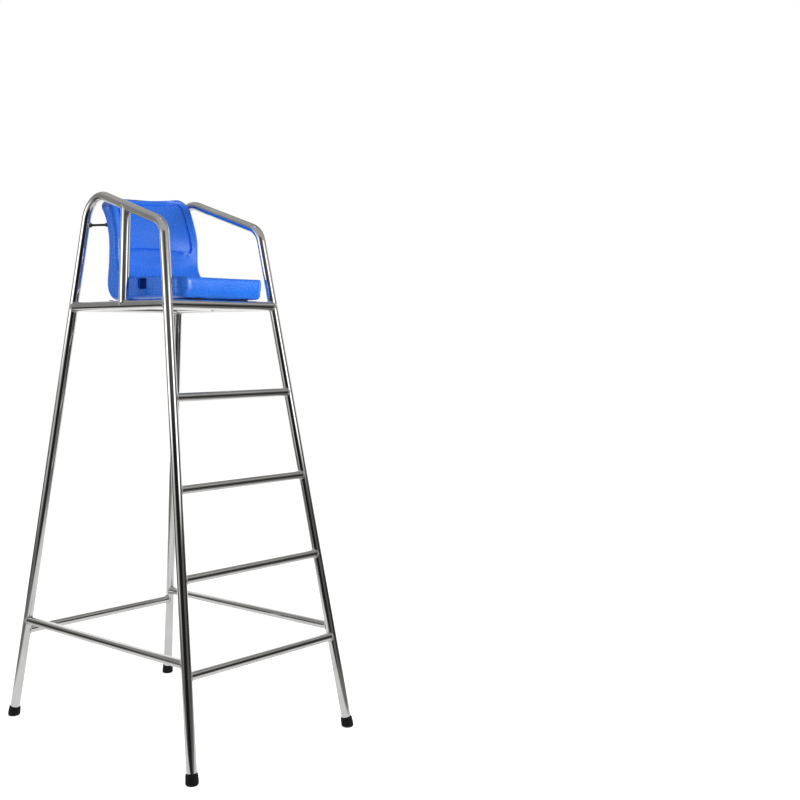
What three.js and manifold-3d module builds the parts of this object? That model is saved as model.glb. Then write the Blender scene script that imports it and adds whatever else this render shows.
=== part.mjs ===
// Lifeguard chair: a tall frame of bent and welded steel tube with a ladder front,
// and a hollow moulded seat bolted between its two side hoops.
// Millimetres. +Z is up, the sitter and the ladder face -Y, left is -X as seen from the front.
// The origin is on the floor under the middle of the frame.
import * as THREE from "three";
import { mergeVertices } from "three/addons/utils/BufferGeometryUtils.js";
import Module from "manifold-3d";

const wasm = await Module();
wasm.setup();

// Driving dimensions of the frame
const frameTube = 32; // outer diameter of hoops, seat rails and strut
const stepTube = 28; // outer diameter of rungs and stretchers
const tubeWall = 1.5;
const tubeSides = 16;
const boreSides = 8;
const fitGap = 0.3;
const weldSize = 2.6;
const footHalfWidth = 334;
const sideLean = 0.08; // how far a hoop comes inwards for each unit of height
const frontFootY = -487;
const frontLean = 0.161;
const rearFootY = 487;
const rearLean = 0.168;
const armHeight = 1747; // centre line of the armrest over the origin
const armSlope = 0.335;
const frontBendRadius = 62;
const rearBendRadius = 82;
const bendSteps = 7;
const railHeight = 1420;
const rungHeights = { lower_rung: 587, middle_rung: 853, upper_rung: 1132 };
const frontStretcherHeight = 306;
const sideStretcherHeight = 341;
const strutTopY = -17;
const strutFootY = -31;

// Driving dimensions of what holds the seat
const supportTube = 25; // under the back of the seat pan, from side rail to side rail
const supportY = 40;
const strapWidth = 30;
const strapThickness = 4;
const strapX = 95;
const strapFrontY = -266;
const strapRearY = 60;
const boltRows = { front: -212, rear: -2 };
const boltDiameter = 8;
const boltSides = 10;
const boltHole = 9;
const boltInSeat = 14;
const boltHead = { height: 5.5, flangeRadius: 8.5, flangeThickness: 1.5 };
const nutAcross = 13; // across the flats of every hexagon
const nutHeight = 6;
const stayHeight = 1692;
const staySeatX = 160; // where a back stay meets the rounded corner of the seat's back
const staySeatY = 132;
const stayInSeat = 9;
const stayBoss = { radius: 7, reach: 7 }; // reach from the leg's skin
const nutStandOff = 4.5; // middle of the nut from the seat's skin
const strapBase = railHeight + frameTube / 2 + fitGap;
const seatBase = strapBase + strapThickness + fitGap;
const boltLength = seatBase - strapBase + boltInSeat;

// Driving dimensions of a foot, along the leg that it caps
const footHeight = 34;
const footRadius = 20.3;
const footRimRadius = 18.4;
const footFloor = 9; // rubber under the tube's end
const footSoleRound = 7;
const footSoleDrop = 8; // the sole's reach below the floor before its level cut
const footShoulder = 20; // height at which the cap starts to narrow
const footLip = 2;
const footSides = 16;
const footBore = (frameTube / 2 + fitGap) / Math.cos(Math.PI / footSides); // clears the tube's skin

// Driving dimensions of the seat, a hollow moulding. Its guide curves run from the front lip
// along the pan and up the back. Each point is half width, depth and height over the seat's base.
const rimPoints = [
  [176, -275, 66],
  [175, -185, 69],
  [173, -80, 72],
  [172, 6, 75],
  [172, 50, 91],
  [173, 67, 124],
  [174, 69, 160],
  [175, 69, 208],
  [174, 79, 256],
  [170, 95, 306],
  [165, 114, 353],
];
const dishPoints = [
  [0, -275, 66],
  [0, -185, 60],
  [0, -80, 55],
  [0, 10, 54],
  [0, 68, 70],
  [0, 94, 108],
  [0, 100, 154],
  [0, 101, 208],
  [0, 109, 256],
  [0, 123, 306],
  [0, 140, 353],
];
const underPoints = [
  [0, -270, 0],
  [0, -183, 0],
  [0, -76, 0],
  [0, 32, 0],
  [0, 98, 5],
  [0, 127, 36],
  [0, 124, 124],
  [0, 122, 208],
  [0, 134, 256],
  [0, 160, 306],
  [0, 194, 353],
];
const seatWall = 3.5;
const panCornerRadius = 34;
const lipRadius = 6;
const topCornerRadius = 44;
const topEdgeRadius = 8;
const underCornerRadius = 26;
const rollRadius = { pan: 5, back: 11, least: 1.5 };
const backBlend = { from: 230, to: 330 }; // distances along the rim where the pan turns into the back
const dishPower = 2.3; // how flat the dished face is across its middle
const partingDepth = 35; // from the rim down to the moulding's parting step
const partingStep = 1.8;
const topDip = { depth: 12, halfWidth: 122, reach: 95 }; // the saddle in the top edge
const topTilt = 4.5; // the right crest of the saddle is this much higher than level, the left one lower
const sidePocket = { widthY: 37, height: 33, depth: 24, centreY: -60, centreZ: 50 }; // depth inwards
const panShare = 0.35; // how far along the rim the side pockets are
const bossRadius = 13;
const bossHeight = 20;

// Groove that frames the backrest panel, in distances down from the top edge and half widths
const panel = { top: 19, bottom: 176, topHalf: 132, bottomHalf: 146, corner: 20, steps: 22 };
const panelArch = 14; // how far the panel's lower corners hang below the middle of its lower edge
const grooveRadius = 1.7;
const plateRecess = { width: 64, height: 28, depth: 1.4, distance: 66 }; // distance from the top edge

const steel = { color: 0xc9cbce, roughness: 0.12, metalness: 1 };
const bluePlastic = { color: 0x2f78ea, roughness: 0.3, metalness: 0 };
const blackRubber = { color: 0x17181a, roughness: 0.75, metalness: 0 };

const chair = new THREE.Group();
const straightUp = new THREE.Vector3(0, 0, 1);
const floorBlock = [90, 90, 40];

function addPart(name, geometry, look, parent = chair) {
  const mesh = new THREE.Mesh(geometry, new THREE.MeshStandardMaterial(look));
  mesh.name = name;
  parent.add(mesh);
  return mesh;
}

// Solids and booleans
function toSolid(geometry) {
  const bare = geometry.clone();
  bare.deleteAttribute("normal");
  bare.deleteAttribute("uv");
  const merged = mergeVertices(bare, 1e-4);
  const vertProperties = new Float32Array(merged.attributes.position.array);
  const triVerts = new Uint32Array(merged.index.array);
  return new wasm.Manifold(new wasm.Mesh({ numProp: 3, vertProperties, triVerts }));
}

function toGeometry(solid) {
  const mesh = solid.getMesh();
  const geometry = new THREE.BufferGeometry();
  geometry.setAttribute("position", new THREE.BufferAttribute(mesh.vertProperties, 3));
  geometry.setIndex(new THREE.BufferAttribute(mesh.triVerts, 1));
  geometry.computeVertexNormals();
  return geometry;
}

// A path through given stations, so that rings are spent on the bends and not on straight runs
class StationPath extends THREE.Curve {
  constructor(stations) {
    super();
    this.stations = stations;
  }
  getUtoTmapping(u) {
    return u;
  }
  getPoint(t, target = new THREE.Vector3()) {
    const last = this.stations.length - 1;
    const place = Math.min(Math.max(t, 0), 1) * last;
    const index = Math.min(Math.floor(place), last - 1);
    return target.lerpVectors(this.stations[index], this.stations[index + 1], place - index);
  }
}

function polygon(radius, sides) {
  return Array.from({ length: sides }, (_, i) => {
    const angle = (2 * Math.PI * (i + 0.5)) / sides;
    return new THREE.Vector2(radius * Math.cos(angle), radius * Math.sin(angle));
  });
}

function sweep(section, stations) {
  const extrudePath = new StationPath(stations);
  return new THREE.ExtrudeGeometry(section, { steps: stations.length - 1, extrudePath });
}

function rod(stations, radius, sides = tubeSides) {
  return toSolid(sweep(new THREE.Shape(polygon(radius, sides)), stations));
}

// Radius of a faceted bore that leaves as much metal as the round tube's wall
function boreRadius(outerRadius) {
  const facetArea = (radius, sides) => (sides / 2) * radius ** 2 * Math.sin((2 * Math.PI) / sides);
  const wallArea = Math.PI * (outerRadius ** 2 - (outerRadius - tubeWall) ** 2);
  return Math.sqrt((facetArea(outerRadius, tubeSides) - wallArea) / facetArea(1, boreSides));
}

function roundedCorner(from, corner, to, radius, steps) {
  const back = from.clone().sub(corner).normalize();
  const ahead = to.clone().sub(corner).normalize();
  const half = back.angleTo(ahead) / 2;
  const middle = back.clone().add(ahead).normalize();
  const centre = corner.clone().addScaledVector(middle, radius / Math.sin(half));
  const start = corner.clone().addScaledVector(back, radius / Math.tan(half)).sub(centre);
  const end = corner.clone().addScaledVector(ahead, radius / Math.tan(half)).sub(centre);
  const axis = start.clone().cross(end).normalize();
  const turn = Math.PI - 2 * half;
  return Array.from({ length: steps + 1 }, (_, i) =>
    start.clone().applyAxisAngle(axis, (turn * i) / steps).add(centre),
  );
}

// Points of the frame: each hoop lies in a plane that leans inwards
const frontY = (z) => frontFootY + frontLean * z;
const rearY = (z) => rearFootY - rearLean * z;
const onHoop = (side, y, z) => new THREE.Vector3(side * (footHalfWidth - sideLean * z), y, z);
const legPoint = (side, end, z) => onHoop(side, end < 0 ? frontY(z) : rearY(z), z);

function legDirection(side, end) {
  return legPoint(side, end, 1000).sub(legPoint(side, end, 0)).normalize();
}

function hoopStations(side) {
  const tubeStart = (end) =>
    legPoint(side, end, 0).addScaledVector(legDirection(side, end), footFloor);
  const kneeHeight = (armHeight + armSlope * frontFootY) / (1 - armSlope * frontLean);
  const shoulderHeight = (armHeight + armSlope * rearFootY) / (1 + armSlope * rearLean);
  const knee = legPoint(side, -1, kneeHeight);
  const shoulder = legPoint(side, 1, shoulderHeight);
  const front = tubeStart(-1);
  const rear = tubeStart(1);
  return [
    front,
    ...roundedCorner(front, knee, shoulder, frontBendRadius, bendSteps),
    ...roundedCorner(knee, shoulder, rear, rearBendRadius, bendSteps + 2),
    rear,
  ];
}

function hoopGeometry(side) {
  const section = new THREE.Shape(polygon(frameTube / 2, tubeSides));
  section.holes.push(new THREE.Path(polygon(boreRadius(frameTube / 2), boreSides)));
  return sweep(section, hoopStations(side));
}

// What a tube is welded on: its skin with a fit gap, and the same swollen by the weld
function weldHost(stations, radius) {
  return {
    skin: rod(stations, radius + fitGap),
    swollen: rod(stations, radius + fitGap + weldSize),
  };
}

// A straight tube, coped to its hosts, with a weld bead round each coped end
function weldedTube(start, end, diameter, hosts, keepClear = []) {
  const line = [start, end];
  const fat = rod(line, diameter / 2 + weldSize);
  let tube = rod(line, diameter / 2);
  for (const host of hosts) tube = tube.add(fat.intersect(host.swollen));
  tube = tube.subtract(rod(line, boreRadius(diameter / 2), boreSides));
  for (const host of hosts) tube = tube.subtract(host.skin);
  for (const neighbour of keepClear) tube = tube.subtract(neighbour);
  return tube;
}

function buildFrame() {
  const sides = { left: -1, right: 1 };
  const hoops = {};
  for (const [name, side] of Object.entries(sides)) {
    hoops[name] = weldHost(hoopStations(side), frameTube / 2);
    addPart(`${name}_side_hoop`, hoopGeometry(side), steel);
  }
  const bothHoops = [hoops.left, hoops.right];
  const across = (end, z) => [legPoint(-1, end, z), legPoint(1, end, z)];

  for (const [name, z] of Object.entries(rungHeights)) {
    addPart(name, toGeometry(weldedTube(...across(-1, z), stepTube, bothHoops)), steel);
  }
  for (const [name, end] of Object.entries({ front: -1, rear: 1 })) {
    const stretcher = weldedTube(...across(end, frontStretcherHeight), stepTube, bothHoops);
    addPart(`${name}_stretcher`, toGeometry(stretcher), steel);
    const rail = weldedTube(...across(end, railHeight), frameTube, bothHoops);
    addPart(`${name}_seat_rail`, toGeometry(rail), steel);
  }

  const cornerRoom = frameTube / 2 + weldSize + fitGap;
  const crossRails = [-1, 1].map((end) => rod(across(end, railHeight), cornerRoom));
  const railHosts = {};
  for (const [name, side] of Object.entries(sides)) {
    const along = (z) => [legPoint(side, -1, z), legPoint(side, 1, z)];
    const stretcher = weldedTube(...along(sideStretcherHeight), stepTube, [hoops[name]]);
    addPart(`${name}_stretcher`, toGeometry(stretcher), steel);
    const rail = weldedTube(...along(railHeight), frameTube, [hoops[name]], crossRails);
    addPart(`${name}_seat_rail`, toGeometry(rail), steel);
    railHosts[name] = weldHost(along(railHeight), frameTube / 2);
  }

  const strutTop = onHoop(-1, strutTopY, armHeight + armSlope * strutTopY);
  const strutFoot = onHoop(-1, strutFootY, railHeight);
  const strut = weldedTube(strutTop, strutFoot, frameTube, [hoops.left, railHosts.left]);
  addPart("arm_strut", toGeometry(strut), steel);

  const supportHeight = railHeight + (frameTube - supportTube) / 2;
  const supportEnd = (side) => onHoop(side, supportY, railHeight).setZ(supportHeight);
  const hosts = [railHosts.left, railHosts.right];
  const support = weldedTube(supportEnd(-1), supportEnd(1), supportTube, hosts);
  addPart("seat_support_tube", toGeometry(support), steel);
  return hoops;
}

// Rubber cap on the end of a leg, cut level where it stands
function footProfile() {
  const outline = new THREE.Path();
  outline.moveTo(0, -footSoleDrop);
  outline.lineTo(footRadius - footSoleRound, -footSoleDrop);
  outline.quadraticCurveTo(footRadius, -footSoleDrop, footRadius, footSoleRound);
  outline.quadraticCurveTo(footRadius, footShoulder, footRimRadius, footHeight - footLip);
  outline.quadraticCurveTo(footRimRadius, footHeight, footRimRadius - footLip / 2, footHeight);
  outline.lineTo(footBore, footHeight);
  outline.lineTo(footBore, footFloor - fitGap);
  outline.lineTo(0, footFloor - fitGap);
  return outline.getPoints(3);
}

function buildFeet() {
  for (const [sideName, side] of Object.entries({ left: -1, right: 1 })) {
    for (const [endName, end] of Object.entries({ front: -1, rear: 1 })) {
      const turn = new THREE.Quaternion().setFromUnitVectors(straightUp, legDirection(side, end));
      const cap = new THREE.LatheGeometry(footProfile(), footSides).rotateX(Math.PI / 2);
      const floor = new THREE.BoxGeometry(...floorBlock).translate(0, 0, -floorBlock[2] / 2);
      floor.applyQuaternion(turn.clone().invert());
      const foot = addPart(
        `${endName}_${sideName}_foot`,
        toGeometry(toSolid(cap).subtract(toSolid(floor))),
        blackRubber,
      );
      foot.position.copy(legPoint(side, end, 0));
      foot.quaternion.copy(turn);
    }
  }
}

// Seat: a loft of sections along the rim, square to the face
const guide = (points) =>
  new THREE.CatmullRomCurve3(points.map((p) => new THREE.Vector3(...p)), false, "centripetal");
const rimLine = guide(rimPoints);
const dishLine = guide(dishPoints);
const underLine = guide(underPoints);
const rimLength = rimLine.getLength();

// How far a rounded end draws an edge in, at a distance from that end
function drawnIn(distance, radius) {
  if (distance >= radius) return 0;
  return radius - Math.sqrt(radius ** 2 - (radius - distance) ** 2);
}

// One section across the moulding at a distance along the rim, inset for the hollow inside
function seatSection(distance, inset = 0) {
  const t = rimLine.getUtoTmapping(distance / rimLength);
  const rim = rimLine.getPoint(t);
  const dish = dishLine.getPoint(t);
  const under = underLine.getPoint(t);
  under.z = Math.max(under.z, 0); // flat where it rests on the straps
  const inwards = new THREE.Vector3(0, under.y - rim.y, under.z - rim.z);
  const thickness = inwards.length();
  inwards.normalize();
  const dishDepth = (dish.y - rim.y) * inwards.y + (dish.z - rim.z) * inwards.z;
  const toTop = rimLength - distance;
  const backShare = THREE.MathUtils.smoothstep(distance, backBlend.from, backBlend.to);
  const endDraw = drawnIn(distance, lipRadius) + drawnIn(toTop, topEdgeRadius);
  const halfWidth =
    rim.x - drawnIn(distance, panCornerRadius) - drawnIn(toTop, topCornerRadius) - inset;
  const face = endDraw + inset;
  const underDraw = drawnIn(distance, 2 * lipRadius) + drawnIn(toTop, topEdgeRadius);
  const underDepth = thickness - underDraw - inset;
  const room = underDepth - face;
  const roll = THREE.MathUtils.lerp(rollRadius.pan, rollRadius.back, backShare) - inset;
  const corner = Math.min(underCornerRadius - inset, 0.5 * room);
  return {
    origin: new THREE.Vector3(0, rim.y, rim.z),
    inwards,
    dishDepth,
    halfWidth,
    face,
    underDepth,
    roll: Math.min(Math.max(roll, rollRadius.least), 0.4 * room),
    corner,
    partingDepth: Math.min(partingDepth, underDepth - corner - 2),
    parting: partingStep * (1 - backShare),
    topShare: 1 - THREE.MathUtils.smoothstep(toTop, 0, topDip.reach),
  };
}

function faceDepth(section, x) {
  const reach = Math.min(Math.abs(x) / (section.halfWidth - section.roll), 1);
  return section.face + section.dishDepth * (1 - reach ** dishPower);
}

function placeInSection(section, x, depth) {
  const across = Math.max(0, 1 - (x / topDip.halfWidth) ** 2);
  const rise = (topTilt * x) / topDip.halfWidth - topDip.depth * across;
  const point = section.origin.clone().addScaledVector(section.inwards, depth);
  return new THREE.Vector3(x, point.y, point.z + rise * section.topShare);
}

// Right half of a section's outline, from the middle of its face round to the middle underneath
function halfOutline(section, faceSteps, arcSteps) {
  const { halfWidth, face, roll, corner, underDepth, parting } = section;
  const lower = halfWidth - parting;
  const points = [];
  for (let i = 0; i < faceSteps; i += 1) {
    const x = (halfWidth - roll) * Math.sin((Math.PI / 2) * (i / faceSteps));
    points.push([x, faceDepth(section, x)]);
  }
  for (let i = 0; i <= arcSteps; i += 1) {
    const angle = (Math.PI / 2) * (i / arcSteps);
    const x = halfWidth - roll + roll * Math.sin(angle);
    points.push([x, face + roll * (1 - Math.cos(angle))]);
  }
  points.push([halfWidth, section.partingDepth]);
  points.push([lower, section.partingDepth + 1]);
  for (let i = 0; i <= arcSteps; i += 1) {
    const angle = (Math.PI / 2) * (i / arcSteps);
    const x = lower - corner + corner * Math.cos(angle);
    points.push([x, underDepth - corner + corner * Math.sin(angle)]);
  }
  points.push([0, underDepth]);
  return points;
}

function loftSeat(distances, inset, faceSteps, arcSteps) {
  const rings = distances.map((distance) => {
    const section = seatSection(distance, inset);
    const half = halfOutline(section, faceSteps, arcSteps);
    const mirrored = half.slice(1, -1).reverse().map(([x, depth]) => [-x, depth]);
    return { section, outline: [...half, ...mirrored] };
  });
  const size = rings[0].outline.length;
  const positions = [];
  const index = [];
  for (const { section, outline } of rings) {
    for (const [x, depth] of outline) positions.push(...placeInSection(section, x, depth));
  }
  for (let ring = 0; ring < rings.length - 1; ring += 1) {
    for (let i = 0; i < size; i += 1) {
      const a = ring * size + i;
      const b = ring * size + ((i + 1) % size);
      index.push(a, b, a + size, b, b + size, a + size);
    }
  }
  const lastRing = (rings.length - 1) * size;
  const flat = (ring) => rings[ring].outline.map(([x, depth]) => new THREE.Vector2(x, depth));
  for (const [a, b, c] of THREE.ShapeUtils.triangulateShape(flat(0), [])) index.push(a, c, b);
  for (const [a, b, c] of THREE.ShapeUtils.triangulateShape(flat(rings.length - 1), [])) {
    index.push(lastRing + a, lastRing + b, lastRing + c);
  }
  const geometry = new THREE.BufferGeometry();
  geometry.setAttribute("position", new THREE.Float32BufferAttribute(positions, 3));
  geometry.setIndex(index);
  return toSolid(geometry);
}

function stationDistances(ends, from, to, middleSteps) {
  const first = from + ends[ends.length - 1];
  const last = to - ends[ends.length - 1];
  const middle = Array.from(
    { length: middleSteps - 1 },
    (_, i) => first + ((last - first) * (i + 1)) / middleSteps,
  );
  return [
    ...ends.map((d) => from + d),
    ...middle,
    ...ends.toReversed().map((d) => to - d),
  ];
}

// Point of the seat's face at a distance along the rim, with its direction into the seat
function onFace(x, distance) {
  const section = seatSection(distance);
  return {
    point: placeInSection(section, x, faceDepth(section, x)),
    inwards: section.inwards,
  };
}

// Half of the groove that frames the backrest panel, as stations on the face
function panelStations(side) {
  const outline = new THREE.Path();
  const { topHalf, bottomHalf, corner } = panel;
  const bottom = rimLength - panel.bottom;
  const top = rimLength - panel.top;
  outline.moveTo(-1, bottom);
  outline.lineTo(bottomHalf - corner, bottom);
  outline.quadraticCurveTo(bottomHalf, bottom, bottomHalf, bottom + corner);
  outline.lineTo(topHalf, top - corner);
  outline.quadraticCurveTo(topHalf, top, topHalf - corner, top);
  outline.lineTo(-1, top);
  return outline.getSpacedPoints(panel.steps).map(({ x, y }) => {
    const lowness = (top - y) / (top - bottom);
    return onFace(side * x, y - panelArch * lowness * (x / bottomHalf) ** 2).point;
  });
}

function plateRecessGeometry() {
  const { width, height, depth, distance } = plateRecess;
  const { point, inwards } = onFace(0, rimLength - distance);
  const recess = new THREE.BoxGeometry(width, height, 2 * depth);
  recess.applyQuaternion(new THREE.Quaternion().setFromUnitVectors(straightUp, inwards));
  return recess.translate(point.x, point.y, point.z);
}

function upright(radius, bottom, top) {
  const cylinder = new THREE.CylinderGeometry(radius, radius, top - bottom, boltSides);
  return cylinder.rotateX(Math.PI / 2).translate(0, 0, (top + bottom) / 2);
}

// Block of a side pocket, or of its walls when grown by their thickness
function pocketBlock(side, wall) {
  const { widthY, height, depth, centreY, centreZ } = sidePocket;
  const floorX = seatSection(rimLength * panShare).halfWidth - depth - wall;
  const reach = depth + wall + fitGap;
  const block = new THREE.BoxGeometry(reach, widthY + 2 * wall, height + 2 * wall);
  return toSolid(block.translate(side * (floorX + reach / 2), centreY, centreZ));
}

function seatSolid() {
  const outer = loftSeat(stationDistances([0, 2, 7, 16, 34], 0, rimLength, 13), 0, 5, 3);
  const hollowDistances = stationDistances([0, 5, 30], seatWall, rimLength - seatWall, 10);
  const hollow = loftSeat(hollowDistances, seatWall, 4, 1);
  let seat = outer.subtract(hollow);
  for (const side of [-1, 1]) {
    seat = seat.add(pocketBlock(side, seatWall).intersect(outer)).subtract(pocketBlock(side, 0));
    seat = seat.subtract(rod(panelStations(side), grooveRadius, 5));
    for (const y of Object.values(boltRows)) {
      const boss = upright(bossRadius, seatWall / 2, bossHeight).translate(side * strapX, y, 0);
      const hole = upright(boltHole / 2, -1, boltInSeat + 2).translate(side * strapX, y, 0);
      seat = seat.add(toSolid(boss)).subtract(toSolid(hole));
    }
    const stay = stayLine(side).map((point) => point.setZ(stayHeight - seatBase));
    seat = seat.subtract(rod(stay, boltHole / 2, boltSides));
  }
  return seat.subtract(toSolid(plateRecessGeometry()));
}

// Line of a back stay, from the axis of a rear leg to a little inside the seat's corner
function stayLine(side) {
  const leg = legPoint(side, 1, stayHeight);
  const seat = new THREE.Vector3(side * staySeatX, staySeatY, stayHeight);
  const inside = seat.clone().addScaledVector(seat.clone().sub(leg).normalize(), stayInSeat);
  return [leg, inside];
}

function hexagon(height = nutHeight) {
  const radius = nutAcross / Math.sqrt(3);
  return new THREE.CylinderGeometry(radius, radius, height, 6).rotateX(Math.PI / 2);
}

function buildStraps(names) {
  const half = strapWidth / 2;
  const outline = new THREE.Shape();
  outline.absarc(0, strapFrontY + half, half, Math.PI, 2 * Math.PI);
  outline.absarc(0, strapRearY - half, half, 0, Math.PI);
  for (const y of Object.values(boltRows)) {
    outline.holes.push(new THREE.Path().absarc(0, y, boltHole / 2, 0, 2 * Math.PI, true));
  }
  const options = { depth: strapThickness, bevelEnabled: false, curveSegments: 6 };
  for (const [name, side] of Object.entries(names)) {
    const strap = new THREE.ExtrudeGeometry(outline, options);
    const mesh = addPart(`${name}_seat_strap`, strap, steel);
    mesh.position.set(side * strapX, 0, strapBase);
  }
}

function boltGeometry() {
  const { height, flangeRadius, flangeThickness } = boltHead;
  const head = toSolid(hexagon(height + 1).translate(0, 0, -flangeThickness - height / 2));
  const flange = toSolid(upright(flangeRadius, -flangeThickness, 0));
  const shank = toSolid(upright(boltDiameter / 2, -1, boltLength));
  return toGeometry(head.add(flange).add(shank));
}

function buildSeatBolts(names) {
  for (const [name, side] of Object.entries(names)) {
    for (const [row, y] of Object.entries(boltRows)) {
      const bolt = addPart(`${row}_${name}_seat_bolt`, boltGeometry(), steel);
      bolt.position.set(side * strapX, y, strapBase - fitGap);
    }
  }
}

// Back stays: a stud on each rear leg runs to the seat's back, with a nut on either side of it
function buildStays(names, hoops) {
  for (const [name, side] of Object.entries(names)) {
    const line = stayLine(side);
    const [leg, inside] = line;
    const along = inside.clone().sub(leg).normalize();
    const bossEnd = leg.clone().addScaledVector(along, frameTube / 2 + stayBoss.reach);
    const boss = rod([leg, bossEnd], stayBoss.radius, boltSides);
    const stud = rod(line, boltDiameter / 2, boltSides).add(boss);
    addPart(`${name}_back_stay`, toGeometry(stud.subtract(hoops[name].skin)), steel);
    const bore = upright(boltDiameter / 2 + fitGap, -nutHeight, nutHeight);
    const nut = toSolid(hexagon()).subtract(toSolid(bore));
    const mesh = addPart(`${name}_stay_nut`, toGeometry(nut), steel);
    mesh.position.copy(inside).addScaledVector(along, -stayInSeat - nutStandOff);
    mesh.quaternion.setFromUnitVectors(straightUp, along);
  }
}

const sideNames = { left: -1, right: 1 };
const seatGroup = new THREE.Group();
seatGroup.position.z = seatBase;
addPart("seat_shell", toGeometry(seatSolid()), bluePlastic, seatGroup);
chair.add(seatGroup);
const hoops = buildFrame();
buildFeet();
buildStraps(sideNames);
buildSeatBolts(sideNames);
buildStays(sideNames, hoops);

export default chair;
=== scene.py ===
# Lifeguard chair: polished steel tube frame with a ladder front and a hollow moulded blue seat.
# Metres, +Z up. The ladder and the sitter face -Y, left is -X as seen from the front.
import random
from math import cos, exp, hypot, pi, radians, sin, sqrt, tan
import bmesh
import bpy
import numpy as np
from mathutils import Matrix, Vector


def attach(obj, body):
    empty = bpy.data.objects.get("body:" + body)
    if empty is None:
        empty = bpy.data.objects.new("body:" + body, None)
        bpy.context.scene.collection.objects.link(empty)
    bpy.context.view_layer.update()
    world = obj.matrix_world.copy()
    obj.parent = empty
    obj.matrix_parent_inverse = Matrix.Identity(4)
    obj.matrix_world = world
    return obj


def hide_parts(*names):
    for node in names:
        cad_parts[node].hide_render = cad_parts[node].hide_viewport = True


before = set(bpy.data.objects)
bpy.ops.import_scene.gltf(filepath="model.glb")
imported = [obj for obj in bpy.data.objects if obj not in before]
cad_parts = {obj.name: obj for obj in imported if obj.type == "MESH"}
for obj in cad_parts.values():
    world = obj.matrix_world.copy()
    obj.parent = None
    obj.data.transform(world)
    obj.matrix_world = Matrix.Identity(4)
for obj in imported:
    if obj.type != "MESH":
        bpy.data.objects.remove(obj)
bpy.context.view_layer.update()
print("frame loaded with", len(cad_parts), "nodes")

chairDials = {
    "tubeRadius": 0.0157,  # hoops, seat rails and strut
    "stepRadius": 0.0138,  # rungs and stretchers
    "supportRadius": 0.0124,
    "footHalfWidth": 0.334,
    "sideLean": 0.08,  # how far a hoop comes inwards for each metre of height
    "legs": {-1: (-0.487, 0.161), 1: (0.487, -0.168)},  # front, rear: Y at the floor, and for each metre up
    "armHeight": 1.747,  # centre line of the armrest over the origin
    "armSlope": 0.335,
    "frontBend": 0.062,
    "rearBend": 0.082,
    "railHeight": 1.420,
    "rungHeights": {"lower": 0.587, "middle": 0.853, "upper": 1.132},
    "frontStretcherHeight": 0.306,
    "sideStretcherHeight": 0.341,
    "strutTopY": -0.017,
    "strutFootY": -0.031,
    "supportY": 0.040,
    "supportRise": 0.0035,  # the support tube's axis over the rails' axis
}
sideSigns = {"left": -1, "right": 1}
endSigns = {"front": -1, "rear": 1}
tubeRadius, stepRadius = chairDials["tubeRadius"], chairDials["stepRadius"]
railHeight = chairDials["railHeight"]


# Mesh making

sharpAngles = {"skinned": 40, "cut": 38}  # degrees
weldDistance = 0.000002


def newShape():
    return {"verts": [], "faces": [], "uvs": [], "slots": []}


def addFace(shape, corners, uvs, slot=0):
    shape["faces"].append(corners)
    shape["uvs"].extend(uvs)
    shape["slots"].append(slot)


def addRings(shape, rings, along, slot=0, loop=False):
    # skin between rings of points that turn right-handed about the direction of travel
    base, sides = len(shape["verts"]), len(rings[0])
    for ring in rings:
        shape["verts"].extend(ring)
    for i in range(len(rings) if loop else len(rings) - 1):
        here, there = base + i * sides, base + (i + 1) % len(rings) * sides
        v0, v1 = along[i], along[i + 1]
        for k in range(sides):
            m = (k + 1) % sides
            u0, u1 = k / sides, (k + 1) / sides
            addFace(shape, [here + k, here + m, there + m, there + k],
                    [(u0, v0), (u1, v0), (u1, v1), (u0, v1)], slot)


def addCap(shape, ring, flip=False):
    start = len(shape["verts"])
    shape["verts"].extend(ring)
    corners = list(range(start, start + len(ring)))
    addFace(shape, corners[::-1] if flip else corners, [(0.5, 0.0)] * len(ring))


def solidShape(rings, along):
    # rings skinned one to the next and closed at both ends
    shape = newShape()
    addRings(shape, rings, along)
    addCap(shape, rings[0], flip=True)
    addCap(shape, rings[-1])
    return shape


def addObject(name, data):
    made = bpy.data.objects.new(name, data)
    bpy.context.scene.collection.objects.link(made)
    return made


def meshObject(name, shape):
    mesh = bpy.data.meshes.new(name)
    mesh.from_pydata([tuple(vert) for vert in shape["verts"]], [], shape["faces"])
    return addObject(name, mesh)


def pieceName(node):
    # left_side_hoop becomes leftSideHoop
    first, *rest = node.split("_")
    return first + "".join(word.capitalize() for word in rest)


def dress(piece, node, materials, sharpAngle):
    for material in materials:
        piece.data.materials.append(material)
    for face in piece.data.polygons:
        face.use_smooth = True
        face.material_index = 0
    piece.data.set_sharp_from_angle(angle=radians(sharpAngle))
    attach(piece, "root")
    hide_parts(node)


def makePiece(node, shape, materials):
    piece = meshObject(pieceName(node), shape)
    layer = piece.data.uv_layers.new(name="along")
    for loop, uv in zip(layer.data, shape["uvs"]):
        loop.uv = uv
    dress(piece, node, materials, sharpAngles["skinned"])
    for face, slot in zip(piece.data.polygons, shape["slots"]):
        face.material_index = slot
    piece.data.validate()


def crossVectors(direction):
    helper = Vector((0, 0, 1)) if abs(direction.z) < 0.9 else Vector((0, 1, 0))
    right = direction.cross(helper).normalized()
    return right, direction.cross(right)


def quarterAngles(count):
    return [pi / 2 * i / count for i in range(count + 1)]


def circle(centre, right, up, radius, sides):
    steps = [2 * pi * k / sides for k in range(sides)]
    return [centre + radius * (cos(a) * right + sin(a) * up) for a in steps]


# Materials. A noise is given by its scale, detail and roughness, colours by their places on a ramp.

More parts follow.
